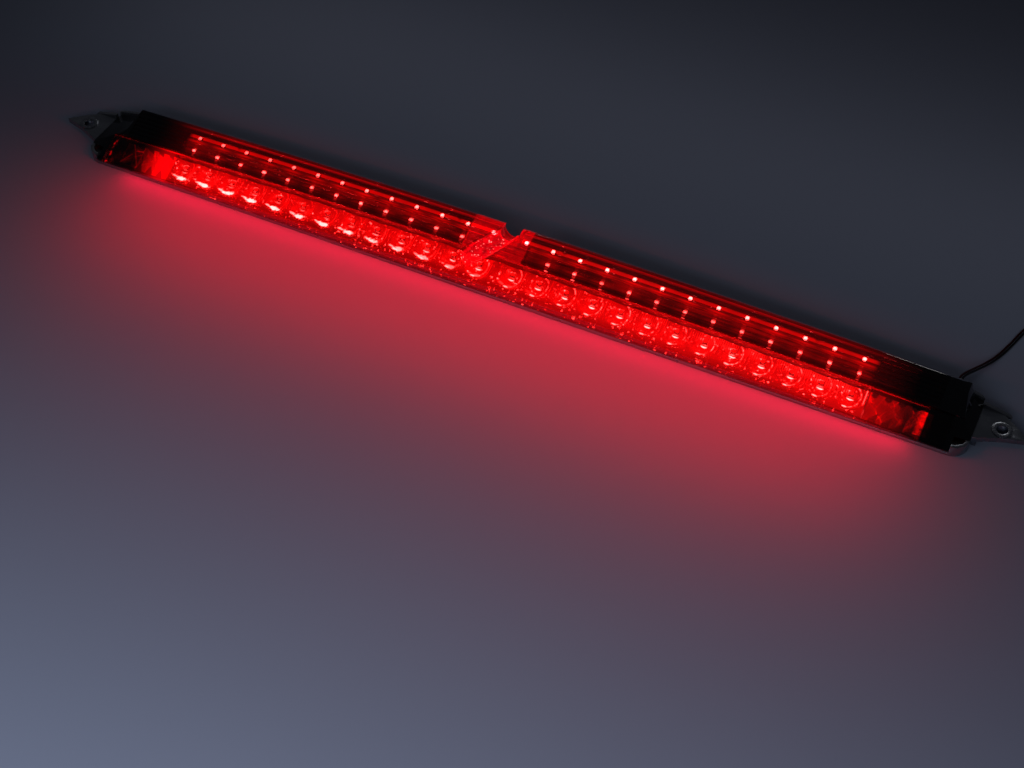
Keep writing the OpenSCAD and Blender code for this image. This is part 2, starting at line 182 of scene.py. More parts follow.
def tex(nt, scale, detail=3.0, rough=0.55, stretch=(1, 1, 1), kind="ShaderNodeTexNoise"):
    tc = nt.nodes.new("ShaderNodeTexCoord")
    mp = nt.nodes.new("ShaderNodeMapping")
    mp.inputs["Scale"].default_value = stretch
    t = nt.nodes.new(kind)
    t.inputs["Scale"].default_value = scale
    if kind == "ShaderNodeTexNoise":
        t.inputs["Detail"].default_value = detail
        t.inputs["Roughness"].default_value = rough
    nt.links.new(tc.outputs["Object"], mp.inputs["Vector"])
    nt.links.new(mp.outputs["Vector"], t.inputs["Vector"])
    return t


def ramp(nt, src, stops):
    r = nt.nodes.new("ShaderNodeValToRGB")
    cr = r.color_ramp
    while len(cr.elements) > 1:
        cr.elements.remove(cr.elements[-1])
    cr.elements[0].position = stops[0][0]
    cr.elements[0].color = (*stops[0][1], 1)
    for p, c in stops[1:]:
        e = cr.elements.new(p)
        e.color = (*c, 1)
    nt.links.new(src, r.inputs["Fac"])
    return r.outputs["Color"]


def grey(v):
    return (v, v, v)


def bump(nt, b, height, strength, dist=0.0002):
    n = nt.nodes.new("ShaderNodeBump")
    n.inputs["Strength"].default_value = strength
    n.inputs["Distance"].default_value = dist
    nt.links.new(height, n.inputs["Height"])
    nt.links.new(n.outputs["Normal"], b.inputs["Normal"])


def plastic(name, c1, c2, rough=(0.3, 0.45), scale=90.0, bstr=0.25, bdist=0.0001, metallic=0.0, coat=0.0,
            stretch=(1, 1, 1), grain=1400.0, spec=0.5):
    """Moulded material: slow colour drift, roughness patches and a fine grain."""
    m, nt, b = mat(name)
    t = tex(nt, scale, 4.0, 0.6, stretch)
    nt.links.new(ramp(nt, t.outputs["Fac"], [(0.3, c1), (0.7, c2)]), b.inputs["Base Color"])
    nt.links.new(ramp(nt, t.outputs["Fac"], [(0.25, grey(rough[0])), (0.75, grey(rough[1]))]), b.inputs["Roughness"])
    g = tex(nt, grain, 2.0, 0.5, stretch)
    bump(nt, b, g.outputs["Fac"], bstr, bdist)
    b.inputs["Metallic"].default_value = metallic
    b.inputs["Specular IOR Level"].default_value = spec
    if coat:
        b.inputs["Coat Weight"].default_value = coat
        b.inputs["Coat Roughness"].default_value = 0.04
    return m


def clear(name, c1, c2, rough=(0.01, 0.04), ior=1.46, bstr=0.06, scale=40.0, stretch=(0.4, 1, 1)):
    """Clear moulded plastic, tinted in the mass, with faint flow lines."""
    m, nt, b = mat(name)
    t = tex(nt, scale, 3.0, 0.5, stretch)
    nt.links.new(ramp(nt, t.outputs["Fac"], [(0.3, c1), (0.7, c2)]), b.inputs["Base Color"])
    nt.links.new(ramp(nt, t.outputs["Fac"], [(0.3, grey(rough[0])), (0.8, grey(rough[1]))]), b.inputs["Roughness"])
    g = tex(nt, 260.0, 2.0, 0.5, stretch)
    bump(nt, b, g.outputs["Fac"], bstr, 0.0001)
    b.inputs["Transmission Weight"].default_value = 1.0
    b.inputs["IOR"].default_value = ior
    b.inputs["Coat Weight"].default_value = 0.5
    b.inputs["Coat Roughness"].default_value = 0.03
    return m


def glow(m, color, strength_src=None, strength=1.0):
    nt = m.node_tree
    b = nt.nodes["Principled BSDF"]
    b.inputs["Emission Color"].default_value = (*color, 1)
    if strength_src is None:
        b.inputs["Emission Strength"].default_value = strength
    else:
        nt.links.new(strength_src, b.inputs["Emission Strength"])


def math_node(nt, op, a, b=None, c=None):
    n = nt.nodes.new("ShaderNodeMath")
    n.operation = op
    for i, v in enumerate((a, b, c)):
        if v is None:
            continue
        if isinstance(v, (int, float)):
            n.inputs[i].default_value = v
        else:
            nt.links.new(v, n.inputs[i])
    return n.outputs[0]


def sep_xyz(nt):
    tc = nt.nodes.new("ShaderNodeTexCoord")
    s = nt.nodes.new("ShaderNodeSeparateXYZ")
    nt.links.new(tc.outputs["Object"], s.inputs[0])
    return s.outputs[0], s.outputs[1], s.outputs[2]


def led_offset(nt, x):
    """Distance in mm from the nearest LED of a row, along the row."""
    ax = math_node(nt, "ABSOLUTE", x)
    d = math_node(nt, "MULTIPLY_ADD", ax, 1000.0 / PITCH, 10.5 - MID / 2 / PITCH)
    return math_node(nt, "MULTIPLY", math_node(nt, "ABSOLUTE", math_node(nt, "SUBTRACT", math_node(nt, "FRACT", d), 0.5)), PITCH)


def led_side(nt, x):
    """The same distance with its sign along the row."""
    ax = math_node(nt, "ABSOLUTE", x)
    d = math_node(nt, "MULTIPLY_ADD", ax, 1000.0 / PITCH, 10.5 - MID / 2 / PITCH)
    s = math_node(nt, "MULTIPLY", math_node(nt, "SUBTRACT", math_node(nt, "FRACT", d), 0.5), PITCH)
    return math_node(nt, "MULTIPLY", s, math_node(nt, "SIGN", x))


def peak(nt, v, at, width):
    """1 at v = at, falling off as a bell of that width."""
    q = math_node(nt, "DIVIDE", math_node(nt, "SUBTRACT", v, at), width)
    return math_node(nt, "DIVIDE", 1.0, math_node(nt, "POWER", 2.718, math_node(nt, "MULTIPLY", q, q)))


def add(nt, *terms):
    out = terms[0]
    for t in terms[1:]:
        out = math_node(nt, "ADD", out, t)
    return out


def mul(nt, *terms):
    out = terms[0]
    for t in terms[1:]:
        out = math_node(nt, "MULTIPLY", out, t)
    return out


def step_up(nt, v, a, b):
    """0 below a, 1 above b."""
    n = nt.nodes.new("ShaderNodeMapRange")
    n.inputs["From Min"].default_value = a
    n.inputs["From Max"].default_value = b
    nt.links.new(v, n.inputs["Value"])
    return n.outputs["Result"]


def crown_z(nt, x, z):
    """Height above the crowned arc, in mm."""
    xm = math_node(nt, "MULTIPLY", x, 1000.0)
    d = math_node(nt, "MULTIPLY", math_node(nt, "MULTIPLY", xm, xm), 1.0 / (2 * CR))
    return math_node(nt, "MULTIPLY_ADD", z, 1000.0, d)


# ---------------------------------------------------------------- materials
M = {}
M["silver"] = plastic("housing_silver", (0.30, 0.31, 0.335), (0.40, 0.41, 0.44), (0.20, 0.34), 60, 0.12, metallic=0.85, stretch=(0.3, 1, 1))
M["black"] = plastic("cap_gloss_black", (0.0035, 0.0035, 0.004), (0.006, 0.006, 0.007), (0.05, 0.12), 50, 0.04, coat=0.6)
M["lens"] = clear("lens_red_clear", (0.88, 0.040, 0.040), (0.83, 0.032, 0.032))
M["smoke"] = clear("cover_smoked", (0.56, 0.030, 0.030), (0.48, 0.024, 0.024), rough=(0.01, 0.03))
M["scoop"] = clear("scoop_red_clear", (0.88, 0.045, 0.050), (0.82, 0.035, 0.040), rough=(0.01, 0.03))
M["wire_dark"] = plastic("wire_dark_red_pvc", (0.040, 0.004, 0.005), (0.062, 0.006, 0.008), (0.30, 0.46), 240, 0.3)
M["board"] = plastic("board_white_mask", (0.62, 0.63, 0.58), (0.72, 0.73, 0.69), (0.35, 0.5), 120, 0.15)
M["chip"] = plastic("chip_black", (0.012, 0.012, 0.013), (0.022, 0.022, 0.024), (0.4, 0.6), 900, 0.3)
M["screw"] = plastic("screw_yellow_zinc", (0.55, 0.42, 0.16), (0.66, 0.54, 0.28), (0.22, 0.36), 700, 0.15, metallic=1.0)
M["steel"] = plastic("bushing_steel", (0.46, 0.47, 0.49), (0.60, 0.61, 0.63), (0.18, 0.34), 800, 0.2, metallic=1.0)
M["foam"] = plastic("gasket_foam", (0.018, 0.018, 0.019), (0.034, 0.034, 0.036), (0.85, 0.98), 1600, 0.9, 0.0004, grain=2600)
M["patch"] = plastic("vent_membrane", (0.60, 0.61, 0.62), (0.74, 0.75, 0.76), (0.6, 0.8), 1500, 0.6, grain=4000)
M["rubber"] = plastic("grommet_rubber", (0.012, 0.012, 0.013), (0.022, 0.022, 0.023), (0.55, 0.72), 300, 0.4)
M["wire_red"] = plastic("wire_red_pvc", (0.36, 0.010, 0.014), (0.48, 0.020, 0.024), (0.32, 0.48), 240, 0.3)
M["wire_black"] = plastic("wire_black_pvc", (0.006, 0.006, 0.007), (0.014, 0.014, 0.015), (0.30, 0.46), 240, 0.3)
M["tie"] = plastic("tie_nylon_black", (0.010, 0.010, 0.011), (0.020, 0.020, 0.022), (0.4, 0.55), 400, 0.3)
M["plug"] = plastic("plug_black_nylon", (0.012, 0.012, 0.014), (0.024, 0.024, 0.027), (0.38, 0.55), 500, 0.45)
M["seal"] = plastic("seal_silicone", (0.30, 0.030, 0.018), (0.40, 0.048, 0.026), (0.45, 0.6), 500, 0.3)
M["brass"] = plastic("pin_tinned_brass", (0.62, 0.50, 0.28), (0.74, 0.62, 0.38), (0.2, 0.3), 900, 0.15, metallic=1.0)

# metallised tray: a painted glow in each bowl stands in for its LED's light, with painted rim highlights, painted
# glints and fine ribs that carry painted glow as well as a bump
m, nt, b = mat("mirror_lower")
t = tex(nt, 220, 3, 0.5)
nt.links.new(ramp(nt, t.outputs["Fac"], [(0.3, (0.80, 0.50, 0.50)), (0.7, (0.92, 0.64, 0.64))]), b.inputs["Base Color"])
nt.links.new(ramp(nt, t.outputs["Fac"], [(0.3, grey(0.14)), (0.7, grey(0.28))]), b.inputs["Roughness"])
b.inputs["Metallic"].default_value = 0.8
px, py, pz = sep_xyz(nt)
u = led_offset(nt, px)
su = led_side(nt, px)
ymm = math_node(nt, "MULTIPLY", py, 1000.0)
v = math_node(nt, "MULTIPLY_ADD", py, 1000.0 / 0.904, 17.6 / 0.904)
n1 = tex(nt, 110, 3, 0.6).outputs["Fac"]
n2 = tex(nt, 520, 2, 0.6, (1, 1, 1)).outputs["Fac"]
n3 = tex(nt, 60, 2, 0.5, (1, 0.6, 1)).outputs["Fac"]
n4 = tex(nt, 330, 4, 0.7).outputs["Fac"]
wob = math_node(nt, "MULTIPLY_ADD", n4, 5.0, -2.5)


def painted_spot(du, dv, wu, wv, rough=0.0):
    """Mask of a painted spot of light du, dv mm from a LED's own station, wu by wv mm, with a ragged edge."""
    a = math_node(nt, "DIVIDE", math_node(nt, "SUBTRACT", su, du), wu)
    c = math_node(nt, "DIVIDE", math_node(nt, "SUBTRACT", v, dv), wv)
    r = math_node(nt, "SQRT", add(nt, mul(nt, a, a), mul(nt, c, c)))
    if rough:
        r = add(nt, r, mul(nt, wob, rough))
    return step_up(nt, r, 1.15, 0.65)


# position masks along the row that set where the painted glints and painted glow blotches sit and how strong they are
to_left = step_up(nt, px, 0.04, -0.12)
to_right = step_up(nt, px, -0.10, 0.06)
far_right = step_up(nt, px, 0.05, 0.16)
ca = math_node(nt, "ADD", su, 1.6)
cb = math_node(nt, "SUBTRACT", v, 11.0)
rr = math_node(nt, "SQRT", add(nt, mul(nt, ca, ca), mul(nt, cb, cb)))
rim_highlight = mul(nt, peak(nt, rr, 7.4, 0.36), step_up(nt, su, -2.6, -1.4))
glow_blotches = step_up(nt, n1, 0.30, 0.62)
glint = step_up(nt, n2, 0.63, 0.72)
rib = math_node(nt, "SINE", math_node(nt, "MULTIPLY", px, 2 * math.pi / 0.00125))
ribs = mul(nt, math_node(nt, "MAXIMUM", rib, 0.0), far_right, step_up(nt, v, 10.5, 12.5), step_up(nt, n3, 0.35, 0.6))
hatch_glints = mul(nt, math_node(nt, "MAXIMUM", rib, 0.0), peak(nt, v, 13.2, 0.7), peak(nt, su, -2.6, 1.6), step_up(nt, n4, 0.40, 0.55))
# painted highlights: LED glints, rim arcs, hatch marks, specks, a bright line at the row's end and painted glow on the
# ribs
painted_glints = add(nt,
             mul(nt, painted_spot(0.0, 9.6, 2.1, 1.0, 0.14), math_node(nt, "MULTIPLY_ADD", to_right, 26.0, 6.0)),
             mul(nt, painted_spot(0.2, 4.2, 3.7, 1.7, 0.55), math_node(nt, "POWER", to_left, 1.6), 34.0),
             mul(nt, painted_spot(-4.6, 4.6, 2.0, 0.8, 0.7), to_left, 14.0),
             mul(nt, painted_spot(-1.4, 3.4, 1.6, 0.7, 0.25), step_up(nt, px, -0.10, -0.04), 14.0),
             mul(nt, painted_spot(-0.6, 13.9, 1.7, 0.5, 0.5), 9.0),
             mul(nt, hatch_glints, 9.0),
             mul(nt, rim_highlight, step_up(nt, n4, 0.44, 0.60), math_node(nt, "MULTIPLY_ADD", to_right, 9.0, 1.2)),
             mul(nt, glint, glow_blotches, 13.0),
             mul(nt, peak(nt, math_node(nt, "MULTIPLY", px, 1000.0), 235.4, 0.35), step_up(nt, v, 6.0, 8.0), 9.0),
             mul(nt, ribs, 2.4))
# emission strength: a faint painted glow all over, brighter up the slope and around each LED, plus the painted
# highlights
strength = add(nt,
               0.13,
               mul(nt, step_up(nt, v, 1.2, 4.4), math_node(nt, "MULTIPLY_ADD", glow_blotches, 0.30, 0.15)),
               mul(nt, painted_spot(0.0, 7.5, 8.2, 7.0), 0.17),
               painted_glints)
# painted shade: the tray's glow drops to 30 % beyond the last LEDs (|x| past 250 mm) and along its front foot
ends = mul(nt, step_up(nt, math_node(nt, "ABSOLUTE", px), 0.250, 0.225), step_up(nt, ymm, -18.9, -17.4))
nt.links.new(mul(nt, strength, math_node(nt, "MULTIPLY_ADD", ends, 0.7, 0.3)), b.inputs["Emission Strength"])
# the painted highlights turn from red to warm white where they are strongest
nt.links.new(ramp(nt, mul(nt, painted_glints, 0.1), [(0.0, (1.0, 0.0, 0.0)), (1.0, (1.0, 0.80, 0.74))]), b.inputs["Emission Color"])
bump(nt, b, add(nt, tex(nt, 900, 2, 0.5).outputs["Fac"], mul(nt, ribs, 0.8)), 0.3, 0.0001)
M["mirror_lo"] = m

# upper mirror: painted glow behind the LEDs, one painted highlight dot to each LED on each bar, dark between them
m, nt, b = mat("mirror_upper")
t = tex(nt, 260, 3, 0.5, (0.3, 1, 1))
nt.links.new(ramp(nt, t.outputs["Fac"], [(0.3, (0.30, 0.16, 0.16)), (0.7, (0.42, 0.22, 0.22))]), b.inputs["Base Color"])
nt.links.new(ramp(nt, t.outputs["Fac"], [(0.3, grey(0.12)), (0.7, grey(0.24))]), b.inputs["Roughness"])
b.inputs["Metallic"].default_value = 0.95
px, py, pz = sep_xyz(nt)
u = led_offset(nt, px)
ymm = math_node(nt, "MULTIPLY", py, 1000.0)
row = math_node(nt, "ABSOLUTE", math_node(nt, "SUBTRACT", math_node(nt, "FRACT", math_node(nt, "MULTIPLY_ADD", ymm, 1 / 1.9, 0.4 / 1.9)), 0.5))
crest = peak(nt, row, 0.0, 0.24)
high = step_up(nt, ymm, 1.6, 8.4)
wide = peak(nt, u, 0.0, 6.0)
jit = step_up(nt, tex(nt, 90, 2, 0.5, (1, 2, 1)).outputs["Fac"], 0.3, 0.65)
glow_streaks = step_up(nt, tex(nt, 300, 2, 0.5, (0.12, 2.2, 1)).outputs["Fac"], 0.46, 0.7)
n5 = tex(nt, 500, 3, 0.6).outputs["Fac"]
dot = mul(nt, step_up(nt, math_node(nt, "ADD", u, math_node(nt, "MULTIPLY_ADD", n5, 2.4, -1.2)), 1.35, 0.75), crest)
level = add(nt, mul(nt, peak(nt, ymm, 4.5, 0.9), 30.0), mul(nt, peak(nt, ymm, 2.2, 0.5), 3.0), mul(nt, peak(nt, ymm, 7.2, 0.8), 3.0))
painted_dots = mul(nt, dot, level, math_node(nt, "MULTIPLY_ADD", jit, 0.6, 0.4))
# emission strength: painted glow around each LED on the bar crests, brighter up high, painted streaks and painted
# highlight dots; it stops past the last LEDs
strength = add(nt,
               0.012,
               mul(nt, wide, crest, math_node(nt, "MULTIPLY_ADD", high, 0.8, 0.12)),
               mul(nt, glow_streaks, high, 0.34),
               mul(nt, glow_streaks, wide, 0.10),
               painted_dots,
               mul(nt, step_up(nt, ymm, 8.8, 9.6), 0.12))
nt.links.new(mul(nt, strength, step_up(nt, math_node(nt, "ABSOLUTE", px), 0.2363, 0.2335)), b.inputs["Emission Strength"])
nt.links.new(ramp(nt, mul(nt, painted_dots, 0.16), [(0.0, (1.0, 0.0, 0.0)), (1.0, (1.0, 0.80, 0.74))]), b.inputs["Emission Color"])
bump(nt, b, tex(nt, 700, 2, 0.5, (0.2, 1, 1)).outputs["Fac"], 0.15, 0.0001)
M["mirror_up"] = m

m, nt, b = mat("led_package_white")
t = tex(nt, 900, 2, 0.5)
nt.links.new(ramp(nt, t.outputs["Fac"], [(0.3, (0.80, 0.78, 0.76)), (0.7, (0.88, 0.87, 0.85))]), b.inputs["Base Color"])
nt.links.new(ramp(nt, t.outputs["Fac"], [(0.3, grey(0.35)), (0.7, grey(0.5))]), b.inputs["Roughness"])
bump(nt, b, t.outputs["Fac"], 0.2, 0.0001)
M["led_body"] = m


def led_light(name, strength, color=(1.0, 0.82, 0.76), dim=False):
    m, nt, b = mat(name)
    t = tex(nt, 1200, 2, 0.5)
    nt.links.new(ramp(nt, t.outputs["Fac"], [(0.3, (0.90, 0.30, 0.25)), (0.7, (0.98, 0.40, 0.33))]), b.inputs["Base Color"])
    b.inputs["Roughness"].default_value = 0.2
    b.inputs["Emission Color"].default_value = (*color, 1)
    s = math_node(nt, "MULTIPLY_ADD", t.outputs["Fac"], strength * 0.4, strength * 0.8)
    if dim:
        s = mul(nt, s, math_node(nt, "MULTIPLY_ADD", step_up(nt, sep_xyz(nt)[0], -0.16, 0.04), 0.75, 0.25))
    nt.links.new(s, b.inputs["Emission Strength"])
    return m


M["led_up"] = led_light("led_dome_upper", 46.0, dim=True)
M["led_lo"] = led_light("led_dome_lower", 3.0, (1.0, 0.035, 0.025))


# LED board: its red glow is painted light standing in for the LEDs' light on it, strongest in a band at y 14 mm and
# near each LED
m, nt, b = mat("board_painted_glow")
t = tex(nt, 260, 3, 0.5, (0.25, 1, 1))
nt.links.new(ramp(nt, t.outputs["Fac"], [(0.3, (0.60, 0.60, 0.56)), (0.7, (0.72, 0.72, 0.69))]), b.inputs["Base Color"])
nt.links.new(ramp(nt, t.outputs["Fac"], [(0.3, grey(0.35)), (0.7, grey(0.5))]), b.inputs["Roughness"])
bump(nt, b, t.outputs["Fac"], 0.15, 0.0001)
px, py, pz = sep_xyz(nt)
u = led_offset(nt, px)
ymm = math_node(nt, "MULTIPLY", py, 1000.0)
s = add(nt, mul(nt, step_up(nt, t.outputs["Fac"], 0.35, 0.65), 0.16), mul(nt, peak(nt, ymm, 14.0, 1.5), 1.35))
s = mul(nt, s, step_up(nt, ymm, 16.4, 15.4), math_node(nt, "MULTIPLY_ADD", peak(nt, u, 0.0, 5.0), 0.3, 0.7))
nt.links.new(mul(nt, s, step_up(nt, math_node(nt, "ABSOLUTE", px), 0.2365, 0.2335)), b.inputs["Emission Strength"])
b.inputs["Emission Color"].default_value = (1.0, 0.0, 0.0, 1)
M["board_painted_glow"] = m


def painted_mass_glow(m, base, noise_amp, scale, ends=(0.262, 0.225), stretch=(0.4, 1, 1)):
    """Painted glow, standing in for the LED light that the tinted plastic carries in its mass."""
    nt = m.node_tree
    b = nt.nodes["Principled BSDF"]
    px, py, pz = sep_xyz(nt)
    n = step_up(nt, tex(nt, scale, 3, 0.6, stretch).outputs["Fac"], 0.3, 0.7)
    s = math_node(nt, "MULTIPLY_ADD", n, noise_amp, base)
    s = mul(nt, s, step_up(nt, math_node(nt, "ABSOLUTE", px), *ends))
    nt.links.new(s, b.inputs["Emission Strength"])
    b.inputs["Emission Color"].default_value = (1.0, 0.0, 0.004, 1)


painted_mass_glow(M["lens"], 0.04, 0.07, 30, (0.262, 0.228))
nt = M["lens"].node_tree
px, py, pz = sep_xyz(nt)
was = nt.nodes["Principled BSDF"].inputs["Emission Strength"].links[0].from_socket
# painted shade in the lens's glow, weaker near its foot and along its top edge; painted glint dots at its left end (x
# -282.6 mm) and a painted glow patch around x -240 mm
painted_glow_shade = math_node(nt, "MULTIPLY_ADD", step_up(nt, crown_z(nt, px, pz), 4.0, 9.5), 0.8, 0.2)
painted_glow_shade = mul(nt, painted_glow_shade, math_node(nt, "MULTIPLY_ADD", step_up(nt, crown_z(nt, px, pz), 16.2, 15.2), 0.85, 0.15))
rim_dots = mul(nt, peak(nt, math_node(nt, "MULTIPLY", px, 1000.0), -282.6, 0.5), step_up(nt, tex(nt, 330, 2, 0.6).outputs["Fac"], 0.52, 0.62), step_up(nt, crown_z(nt, px, pz), 15.5, 14.5), 0.6)
end_glow_patch = mul(nt, peak(nt, math_node(nt, "MULTIPLY", px, 1000.0), -240.0, 9.0), step_up(nt, px, -0.234, -0.238), painted_glow_shade, 0.30)
nt.links.new(add(nt, mul(nt, was, painted_glow_shade), rim_dots, end_glow_patch), nt.nodes["Principled BSDF"].inputs["Emission Strength"])
painted_mass_glow(M["smoke"], 0.006, 0.014, 60)
nt = M["smoke"].node_tree
px, py, pz = sep_xyz(nt)
ymm = math_node(nt, "MULTIPLY", py, 1000.0)
was = nt.nodes["Principled BSDF"].inputs["Emission Strength"].links[0].from_socket
# painted highlight lines along the ridge at y 20.9 and 16.3 mm, only up high and short of the ends
edge = mul(nt, add(nt, mul(nt, peak(nt, ymm, 20.9, 0.30), 0.30), mul(nt, peak(nt, ymm, 16.3, 0.34), 0.24)),
           step_up(nt, crown_z(nt, px, pz), 23.0, 23.6), step_up(nt, math_node(nt, "ABSOLUTE", px), 0.245, 0.20))
nt.links.new(add(nt, was, edge), nt.nodes["Principled BSDF"].inputs["Emission Strength"])
painted_mass_glow(M["scoop"], 0.06, 0.16, 200, (0.3, 0.2), (1, 1, 1))


def paint_end_shade(m, lo, hi, right_only=False):
    """Painted shade: the plastic's colour turns nearly black towards its ends, where no LED lights it, and its glow
    fades out there.
    """
    nt = m.node_tree
    b = nt.nodes["Principled BSDF"]
    px = sep_xyz(nt)[0]
    was = b.inputs["Base Color"].links[0].from_socket
    f = step_up(nt, px if right_only else math_node(nt, "ABSOLUTE", px), lo, hi)
    mx = nt.nodes.new("ShaderNodeMix")
    mx.data_type = "RGBA"
    nt.links.new(f, mx.inputs["Factor"])
    nt.links.new(was, mx.inputs["A"])
    mx.inputs["B"].default_value = (0.006, 0.0006, 0.0006, 1)
    nt.links.new(mx.outputs["Result"], b.inputs["Base Color"])
    e = b.inputs["Emission Strength"].links[0].from_socket
    nt.links.new(mul(nt, e, math_node(nt, "SUBTRACT", 1.0, f)), b.inputs["Emission Strength"])


paint_end_shade(M["lens"], 0.2705, 0.2715, True)
paint_end_shade(M["smoke"], 0.238, 0.262)
# painted shade: the smoked tier's colour is darkened along its ledge, at the front below y 0, so the ledge reads darker
# than its flutes
nt = M["smoke"].node_tree
b = nt.nodes["Principled BSDF"]
px, py, pz = sep_xyz(nt)
was = b.inputs["Base Color"].links[0].from_socket
mx = nt.nodes.new("ShaderNodeMix")
mx.data_type = "RGBA"
nt.links.new(mul(nt, step_up(nt, math_node(nt, "MULTIPLY", py, 1000.0), 0.6, -0.6), 0.8), mx.inputs["Factor"])
nt.links.new(was, mx.inputs["A"])
mx.inputs["B"].default_value = (0.05, 0.002, 0.002, 1)
nt.links.new(mx.outputs["Result"], b.inputs["Base Color"])
M["prism"] = clear("prism_dark_red", (0.42, 0.004, 0.008), (0.34, 0.003, 0.006), rough=(0.02, 0.08))
# painted light on the reflex prisms: a red glow inward of |x| 238-260 mm, stronger on the left, faint glow and glint
# lines along two sets of prism folds, and a glow patch at the right end past x 267 mm
nt = M["prism"].node_tree
b = nt.nodes["Principled BSDF"]
px, py, pz = sep_xyz(nt)
ax = math_node(nt, "MULTIPLY", math_node(nt, "ABSOLUTE", px), 1000.0)
ymm = math_node(nt, "MULTIPLY", py, 1000.0)
fold = math_node(nt, "ABSOLUTE", math_node(nt, "SUBTRACT", math_node(nt, "FRACT", math_node(nt, "DIVIDE", add(nt, ax, mul(nt, ymm, 0.9)), 13.0)), 0.5))
fold2 = math_node(nt, "ABSOLUTE", math_node(nt, "SUBTRACT", math_node(nt, "FRACT", math_node(nt, "DIVIDE", math_node(nt, "SUBTRACT", ax, mul(nt, ymm, 0.7)), 16.0)), 0.5))
pn = step_up(nt, tex(nt, 150, 3, 0.6).outputs["Fac"], 0.42, 0.62)
lefty = math_node(nt, "MULTIPLY_ADD", step_up(nt, px, 0.01, -0.01), 0.75, 0.25)
s = add(nt, mul(nt, step_up(nt, ax, 260.0, 238.0), lefty, 0.55),
        mul(nt, step_up(nt, fold, 0.10, 0.45), step_up(nt, ax, 276.0, 240.0), 0.05),
        mul(nt, peak(nt, fold, 0.5, 0.03), pn, step_up(nt, ax, 280.0, 250.0), 0.7),
        mul(nt, peak(nt, fold2, 0.5, 0.025), pn, step_up(nt, ax, 276.0, 250.0), 0.4),
        mul(nt, step_up(nt, px, 0.2662, 0.2690), pn, 1.0))
nt.links.new(s, b.inputs["Emission Strength"])
b.inputs["Emission Color"].default_value = (1.0, 0.008, 0.006, 1)

# painted light on the groove: a painted glow with painted bright spots along its wall, and a painted dark outline,
# painted shade, just outside it
nt = M["scoop"].node_tree
b = nt.nodes["Principled BSDF"]
tc = nt.nodes.new("ShaderNodeTexCoord")
A = Vector((2.5, 18.0, 22.4)) * MM
GD = Vector((-22.5, -30.0, -3.2))
GLEN = GD.length
GD = GD.normalized()
sub = nt.nodes.new("ShaderNodeVectorMath")
sub.operation = "SUBTRACT"
nt.links.new(tc.outputs["Object"], sub.inputs[0])
sub.inputs[1].default_value = A
crs = nt.nodes.new("ShaderNodeVectorMath")
crs.operation = "CROSS_PRODUCT"
nt.links.new(sub.outputs[0], crs.inputs[0])
crs.inputs[1].default_value = GD
ln = nt.nodes.new("ShaderNodeVectorMath")
ln.operation = "LENGTH"
nt.links.new(crs.outputs[0], ln.inputs[0])
dt = nt.nodes.new("ShaderNodeVectorMath")
dt.operation = "DOT_PRODUCT"
nt.links.new(sub.outputs[0], dt.inputs[0])
dt.inputs[1].default_value = GD
away = math_node(nt, "SUBTRACT", math_node(nt, "MULTIPLY", ln.outputs["Value"], 1000.0),
                 math_node(nt, "MULTIPLY_ADD", dt.outputs["Value"], 1000.0 * 2.2 / GLEN, 4.8))
wall = peak(nt, away, 0.0, 0.35)
g1 = step_up(nt, tex(nt, 300, 3, 0.6).outputs["Fac"], 0.38, 0.62)
g2 = step_up(nt, tex(nt, 900, 2, 0.6).outputs["Fac"], 0.64, 0.70)
painted_wall_spots = mul(nt, wall, g2, g1, 2.2)
was = b.inputs["Emission Strength"].links[0].from_socket
nt.links.new(add(nt, was, mul(nt, wall, math_node(nt, "MULTIPLY_ADD", g1, 0.5, 0.12)), painted_wall_spots), b.inputs["Emission Strength"])
nt.links.new(ramp(nt, mul(nt, painted_wall_spots, 0.5), [(0.0, (1.0, 0.0, 0.006)), (1.0, (1.0, 0.42, 0.40))]), b.inputs["Emission Color"])
# painted shade: a dark outline 1.25 mm outside the groove's wall
was = b.inputs["Base Color"].links[0].from_socket
mx = nt.nodes.new("ShaderNodeMix")
mx.data_type = "RGBA"
nt.links.new(mul(nt, peak(nt, away, 1.25, 0.42), 0.97), mx.inputs["Factor"])
nt.links.new(was, mx.inputs["A"])
mx.inputs["B"].default_value = (0.02, 0.001, 0.001, 1)
nt.links.new(mx.outputs["Result"], b.inputs["Base Color"])

# ---------------------------------------------------------------- cords (the routes are the CAD's own)
RED = [(280.2, 25.4, 12.4), (280.2, 29, 12), (281.6, 35, 10), (284.8, 43, 7), (288.8, 52, 4), (292.8, 61, 2),
       (296.2, 70, 1), (299.4, 80, 0.8), (302.6, 91, 0.8), (306, 99, 0.8), (311, 104.2, 0.9), (317, 106, 1.1),
       (324, 106.4, 1.3)]
BLACK = [(281.8, 25.4, 12.4), (281.8, 29, 12), (283.2, 34.6, 10), (286.4, 42.4, 7), (290.4, 51.4, 4),
         (294.4, 60.4, 2), (297.8, 69.4, 1), (301, 79.4, 0.8), (304.2, 90.2, 0.8), (307.4, 97.6, 0.8),
         (311.8, 102.6, 0.9), (317.4, 104.6, 1.1), (324, 105, 1.3)]
HX0, HX1, HY = 331.5, 359.5, 111.4


